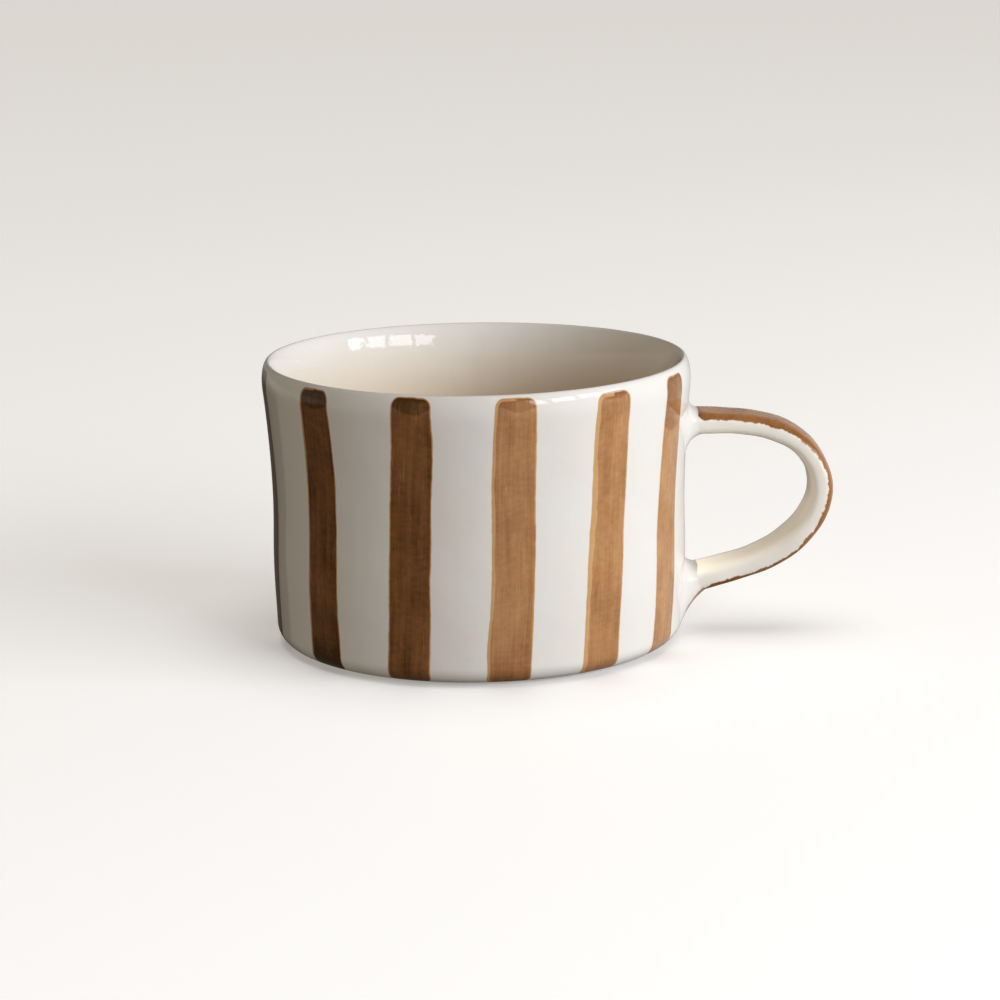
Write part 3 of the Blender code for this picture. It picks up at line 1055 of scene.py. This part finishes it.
def round_bar(tree, u, v, start, end, sideways, endways):
    """Signed distance to a rounded bar in millimetres: below 0 inside it."""
    middle = calc(tree, "MULTIPLY", calc(tree, "ADD", start, end), 0.5)
    half_run = calc(tree, "MULTIPLY", calc(tree, "SUBTRACT", end, start), 0.5)
    half_run = calc(tree, "SUBTRACT", half_run, ROUNDING)
    past_side = calc(tree, "SUBTRACT", calc(tree, "ABSOLUTE", u), HALF_WIDTH - ROUNDING)
    past_side = calc(tree, "ADD", past_side, sideways)
    past_end = calc(tree, "ABSOLUTE", calc(tree, "SUBTRACT", v, middle))
    past_end = calc(tree, "ADD", calc(tree, "SUBTRACT", past_end, half_run), endways)
    out_x, out_y = calc(tree, "MAXIMUM", past_side, 0.0), calc(tree, "MAXIMUM", past_end, 0.0)
    squares = calc(tree, "MULTIPLY_ADD", out_x, out_x, calc(tree, "MULTIPLY", out_y, out_y))
    deepest = calc(tree, "MINIMUM", calc(tree, "MAXIMUM", past_side, past_end), 0.0)
    distance = calc(tree, "ADD", calc(tree, "SQRT", squares), deepest)
    return calc(tree, "SUBTRACT", distance, ROUNDING)


print("stroke outline ready")

# %% [markdown]
# The brush goes over each stroke twice, and the second pass doesn't quite
# reach the edge of the first, so a pale margin shows. A ragged edge has no
# such margin: slip pools along it instead.

# %% The margin of the first pass
MARGIN_PACE, MARGIN_SEED = 0.10, 4.0
RIGHT_MARGIN = 0.3
MARGIN_LEAST, MARGIN_GAIN = 0.2, 1.6
MARGIN_LOSS = -1.5          # for each unit of raggedness


def second_pass(tree, v, side, side_seed, distance, pale, raggedness):
    """1 where the second pass of the brush went, 0 in the pale margin."""
    left = calc(tree, "MULTIPLY_ADD", side, -0.5, 0.5)
    margin = calc(tree, "SUBTRACT", pale, RIGHT_MARGIN)
    margin = calc(tree, "MULTIPLY_ADD", left, margin, RIGHT_MARGIN)
    uneven = edge_noise(tree, v, MARGIN_PACE, calc(tree, "ADD", side_seed, MARGIN_SEED), 2.0)
    uneven = calc(tree, "MULTIPLY_ADD", uneven, MARGIN_GAIN, MARGIN_LEAST)
    margin = calc(tree, "MULTIPLY", margin, uneven)
    left_over = calc(tree, "MULTIPLY_ADD", raggedness, MARGIN_LOSS, 1.0, clamp=True)
    margin = calc(tree, "MULTIPLY", margin, left_over)
    return ease(tree, calc(tree, "ADD", distance, margin), 0.12, -0.16)


print("margin ready")

# %% [markdown]
# Density picks the colour: thin slip is tan, thick slip is dark brown.
# Streaks run down the stroke as bristles do, blotches and mottling break them
# up, hairs of the brush leave thin light lines, and slip pools where the
# brush was set down and lifted.

# %% The slip's density
SLIP = (
    (0.00, (0.740, 0.480, 0.235)),
    (0.18, (0.610, 0.350, 0.150)),
    (0.40, (0.490, 0.243, 0.102)),
    (0.68, (0.285, 0.118, 0.040)),
    (0.84, (0.195, 0.080, 0.022)),
    (1.00, (0.085, 0.034, 0.005)),
)
# how fast a pattern changes across and down for each mm, its detail and roughness
STREAKS = (1.15, 0.035, 3.0, 0.6)
BLOTCHES = (0.16, 0.085, 2.0, 0.5)
MOTTLING = (0.55, 0.9, 3.0, 0.65)
HAIRS = (3.2, 0.16, 2.0, 0.5)
HAIR_SEED, HAIR_EDGE = 9.0, (0.63, 0.72)
CAP_BOW, CAP_UNEVEN = 0.05, 3.0
LIFT_UNEVEN, LIFT_RUN = 9.0, (11.0, 2.0)
CROWN_RUN = (1.4, 0.2)
POOL_RUN = (-2.4, -0.2)
MARGIN_SHARE = 0.38         # how dense the pale margin is beside the rest


def pattern(tree, u, v, seed, paces):
    """Noise over the stroke."""
    across, drift, detail, rough = paces
    x, y = calc(tree, "MULTIPLY", u, across), calc(tree, "MULTIPLY", v, drift)
    return noise(tree, vector(tree, x, y, seed), 1.0, detail, rough)


def slip_density(tree, u, v, seed, distance):
    """How thick the second pass lies, from 0 to about 1."""
    start, end, tone = read_vector(tree, "stroke")
    raggedness = read_vector(tree, "edges")[1]
    cap, gathered, _ = read_vector(tree, "ends")
    streak, blotch, mottle = (
        centred(tree, pattern(tree, u, v, seed, paces)) for paces in (STREAKS, BLOTCHES, MOTTLING)
    )
    hair = pattern(tree, u, v, calc(tree, "ADD", seed, HAIR_SEED), HAIRS)
    hair = ease(tree, hair, *HAIR_EDGE)

    below_start = calc(tree, "SUBTRACT", v, start)
    bow = calc(tree, "MULTIPLY", calc(tree, "MULTIPLY", u, u), CAP_BOW)
    into_cap = calc(tree, "MULTIPLY_ADD", blotch, CAP_UNEVEN, calc(tree, "ADD", below_start, bow))
    set_down = ease(tree, calc(tree, "SUBTRACT", cap, into_cap), -0.35, 0.35)
    crown = ease(tree, below_start, *CROWN_RUN)
    to_end = calc(tree, "SUBTRACT", end, v)
    to_end = calc(tree, "ADD", to_end, calc(tree, "MULTIPLY", blotch, LIFT_UNEVEN))
    lifted = calc(tree, "MULTIPLY", ease(tree, to_end, *LIFT_RUN), gathered)
    pooled = calc(tree, "MULTIPLY", ease(tree, distance, *POOL_RUN), raggedness)

    density = tone
    for cause, gain in (
        (streak, 0.34), (blotch, 0.42), (mottle, 0.26), (set_down, 0.16),
        (crown, 0.14), (lifted, 0.24), (hair, -0.16), (pooled, 0.42),
    ):
        density = calc(tree, "MULTIPLY_ADD", cause, gain, density)
    return density


print("density ready")

# %% Put the stroke together

def brushed_slip(tree):
    """Where the slip is, what colour it has and how thick it lies."""
    u, v, number = read_vector(tree, "brush")
    start, end, _ = read_vector(tree, "stroke")
    pale, raggedness, _ = read_vector(tree, "edges")
    side = calc(tree, "SIGN", u)
    seed = calc(tree, "MULTIPLY", number, SEED_STEP)
    side_seed = calc(tree, "MULTIPLY_ADD", side, SIDE_STEP, seed)

    sideways = edge_wobble(tree, v, side_seed, raggedness)
    distance = round_bar(tree, u, v, start, end, sideways, end_wobble(tree, u, v, seed))
    mask = ease(tree, distance, EDGE_SOFTNESS, -EDGE_SOFTNESS)
    second = second_pass(tree, v, side, side_seed, distance, pale, raggedness)
    share = calc(tree, "MULTIPLY_ADD", second, 1 - MARGIN_SHARE, MARGIN_SHARE)
    density = slip_density(tree, u, v, seed, distance)
    density = calc(tree, "MULTIPLY", density, share, clamp=True)
    body = calc(tree, "MULTIPLY_ADD", density, 0.6, 0.4)
    return mask, ramp(tree, density, SLIP), calc(tree, "MULTIPLY", mask, body)


print("slip recipe ready")

# %% [markdown]
# ## The glaze
#
# Over everything lies one clear, glossy glaze. Principled BSDF has a coat for
# that: a thin clear layer with its own gloss. Glaze is never quite level, so
# a slow ripple and a finer orange peel bend the coat's reflections, and a few
# iron specks from the clay come up through the cream. Deep in the bowl the
# cream is painted darker and warmer as shade, and it is a little darker on the handle.

# %% Helpers for the glaze

def place_in_mm(tree):
    """The point's place on the mug, in millimetres."""
    coordinates = tree.nodes.new("ShaderNodeTexCoord")
    scale = tree.nodes.new("ShaderNodeVectorMath")
    scale.operation = "SCALE"
    tree.links.new(coordinates.outputs["Object"], scale.inputs[0])
    scale.inputs["Scale"].default_value = 1 / MM
    return scale.outputs[0]


def read_number(tree, name):
    """One number stored on the mesh; 0 on a mesh that doesn't have it."""
    attribute = tree.nodes.new("ShaderNodeAttribute")
    attribute.attribute_name = name
    return attribute.outputs["Fac"]


def specks(tree, where, cell, size, share):
    """Small round specks: one in some of the cells of a grid of random cells."""
    cells = tree.nodes.new("ShaderNodeTexVoronoi")
    cells.inputs["Scale"].default_value = 1 / cell
    tree.links.new(where, cells.inputs["Vector"])
    pick = tree.nodes.new("ShaderNodeSeparateColor")
    tree.links.new(cells.outputs["Color"], pick.inputs[0])
    chosen = calc(tree, "LESS_THAN", pick.outputs[0], share)
    grown = calc(tree, "MULTIPLY", pick.outputs[1], size / cell)
    near = calc(tree, "SUBTRACT", grown, cells.outputs["Distance"])
    return calc(tree, "MULTIPLY", ease(tree, near, 0.0, 0.25 * size / cell), chosen)


def bump(tree, height_value, distance, strength=1.0, normal=None):
    """Turn a height in 0..1 into a bent normal; distance is the height of 1, in metres."""
    node = tree.nodes.new("ShaderNodeBump")
    node.inputs["Strength"].default_value = strength
    node.inputs["Distance"].default_value = distance
    fill(tree, node.inputs["Height"], height_value)
    if normal is not None:
        tree.links.new(normal, node.inputs["Normal"])
    return node.outputs["Normal"]

print("glaze helpers ready")

# %% The cream and the bare clay
CREAM = (0.855, 0.812, 0.742)
CREAM_ON_HANDLE = (0.735, 0.685, 0.595)     # a thinner coat: the clay shows through a little
CREAM_THIN = (0.795, 0.730, 0.620)
# painted shade: the darker, warmer cream deep in the bowl
CREAM_IN_BOWL_SHADE = (0.765, 0.622, 0.432)
CLOUD_SCALE, CLOUD_EDGE, CLOUD_SHARE = 0.055, (0.30, 0.72), 0.24
SPECK = (0.36, 0.24, 0.13)
SPECK_CELL, SPECK_SIZE, SPECK_CHANCE, SPECK_SHARE = 7.0, 0.42, 0.16, 0.7
BARE_CLAY, DAMP_CLAY = (0.56, 0.44, 0.31), (0.448, 0.352, 0.248)
WIPE_UNEVEN, WIPE_EDGE = 0.5, (0.85, 1.0)
CLAY_ROUGHER, CLAY_GRAIN = 0.5, 0.15 * MM


def cream_glaze(tree, where, base):
    """Cream that varies a little from place to place, with iron specks, and painted shade that
    darkens and warms it deep in the bowl.
    """
    cloud = ease(tree, noise(tree, where, CLOUD_SCALE, 3.0), *CLOUD_EDGE)
    cream = blend_colours(tree, CLOUD_SHARE, base, blend_colours(tree, cloud, base, CREAM_THIN))
    # painted shade: the cream turns darker and warmer deep in the bowl
    cream = blend_colours(tree, read_number(tree, "bowl_shade"), cream, CREAM_IN_BOWL_SHADE)
    iron = specks(tree, where, SPECK_CELL, SPECK_SIZE, SPECK_CHANCE)
    return blend_colours(tree, calc(tree, "MULTIPLY", iron, SPECK_SHARE), cream, SPECK)


def wiped_clay(tree, where):
    """Where the glaze was wiped off, the clay's colour there, and its grain."""
    ragged = noise(tree, where, 0.5, 3.0)
    wiped = calc(tree, "MULTIPLY_ADD", ragged, WIPE_UNEVEN, read_number(tree, "bare"))
    wiped = ease(tree, wiped, *WIPE_EDGE)
    grain = noise(tree, where, 2.4, 4.0, 0.7)
    return wiped, blend_colours(tree, grain, DAMP_CLAY, BARE_CLAY), grain


print("cream and clay ready")

# %% Mix the glazes
PINHOLE = (0.060, 0.026, 0.008)
PINHOLE_CELL, PINHOLE_SIZE, PINHOLE_CHANCE, PINHOLE_SHARE = 3.4, 0.24, 0.14, 0.75
COAT_ROUGHNESS = 0.02
SMEARED_ROUGHNESS = 0.16    # over the collars, where wet fingers smeared the clay
GLAZE_INDEX = 1.45
RIPPLE_SCALE, PEEL_SCALE, PEEL_HEIGHT = 0.11, 0.55, 0.16
BODY_ROUGHNESS, PEEL_ROUGHER, SLIP_ROUGHER = 0.28, 0.12, 0.10
SLIP_HEIGHT, PINHOLE_DEPTH = 0.22, -0.30
RELIEF, RELIEF_STRENGTH = 0.25 * MM, 0.8


def glaze_material(name, brushed, bare_foot=False, coat_roughness=COAT_ROUGHNESS, base=CREAM):
    """Cream glaze, with slip under it where asked, and bare clay where it was wiped."""
    material = bpy.data.materials.new(name)
    material.use_nodes = True
    tree = material.node_tree
    shader = tree.nodes["Principled BSDF"]
    where = place_in_mm(tree)
    colour = cream_glaze(tree, where, base)
    peel = noise(tree, where, PEEL_SCALE, 2.0)
    ripple = noise(tree, where, RIPPLE_SCALE, 1.0)
    surface = calc(tree, "MULTIPLY_ADD", peel, PEEL_HEIGHT, ripple)
    rough = calc(tree, "MULTIPLY_ADD", peel, PEEL_ROUGHER, BODY_ROUGHNESS)
    if brushed:
        mask, slip, thickness = brushed_slip(tree)
        holes = specks(tree, where, PINHOLE_CELL, PINHOLE_SIZE, PINHOLE_CHANCE)
        slip = blend_colours(tree, calc(tree, "MULTIPLY", holes, PINHOLE_SHARE), slip, PINHOLE)
        colour = blend_colours(tree, mask, colour, slip)
        pricked = calc(tree, "MULTIPLY", holes, mask)
        surface = calc(tree, "MULTIPLY_ADD", pricked, PINHOLE_DEPTH, surface)
        surface = calc(tree, "MULTIPLY_ADD", thickness, SLIP_HEIGHT, surface)
        rough = calc(tree, "MULTIPLY_ADD", mask, SLIP_ROUGHER, rough)
    normal = bump(tree, surface, RELIEF, RELIEF_STRENGTH)
    shader.inputs["Coat Weight"].default_value = 1.0
    if bare_foot:
        wiped, clay, grain = wiped_clay(tree, where)
        colour = blend_colours(tree, wiped, colour, clay)
        rough = calc(tree, "MULTIPLY_ADD", wiped, CLAY_ROUGHER, rough)
        fill(tree, shader.inputs["Coat Weight"], calc(tree, "SUBTRACT", 1.0, wiped))
        sanded = calc(tree, "MULTIPLY", grain, wiped)
        normal = bump(tree, sanded, CLAY_GRAIN, 1.0, normal)
    for name_of_socket, value in (
        ("Base Color", colour), ("Roughness", rough), ("Normal", normal), ("Coat Normal", normal)
    ):
        fill(tree, shader.inputs[name_of_socket], value)
    shader.inputs["IOR"].default_value = GLAZE_INDEX
    shader.inputs["Specular IOR Level"].default_value = 0.0
    shader.inputs["Coat Roughness"].default_value = coat_roughness
    shader.inputs["Coat IOR"].default_value = GLAZE_INDEX
    return material


print("glaze recipe ready")

# %% Glaze the pieces
stripes = glaze_material("stripes_under_glaze", True, bare_foot=True)
handle_glaze = glaze_material("handle_stroke_under_glaze", True, base=CREAM_ON_HANDLE)
tail_glaze = glaze_material("collar_glaze_with_tail", True, coat_roughness=SMEARED_ROUGHNESS)
collar_glaze = glaze_material("collar_glaze", False, coat_roughness=SMEARED_ROUGHNESS)
for piece, glaze in (
    (cup, stripes), (handle, handle_glaze), (lower_collar, tail_glaze), (upper_collar, collar_glaze)
):
    piece.data.materials.append(glaze)
    print(piece.name, "takes", glaze.name)

# %% [markdown]
# ## Fix the pieces to the frame
#
# A mug has no moving part, so all four pieces ride on its one body. Each says
# which piece of the frame it stands for and which finish it takes.

# %% Ride on the body and hide the frame's pieces
PIECES = (
    (cup, "cup_body", "striped_glaze"),
    (handle, "handle_strap", "handle_glaze"),
    (upper_collar, "upper_joint", "cream_glaze"),
    (lower_collar, "lower_joint", "cream_glaze"),
)
for piece, node, finish in PIECES:
    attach(piece, "root")
    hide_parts(node)
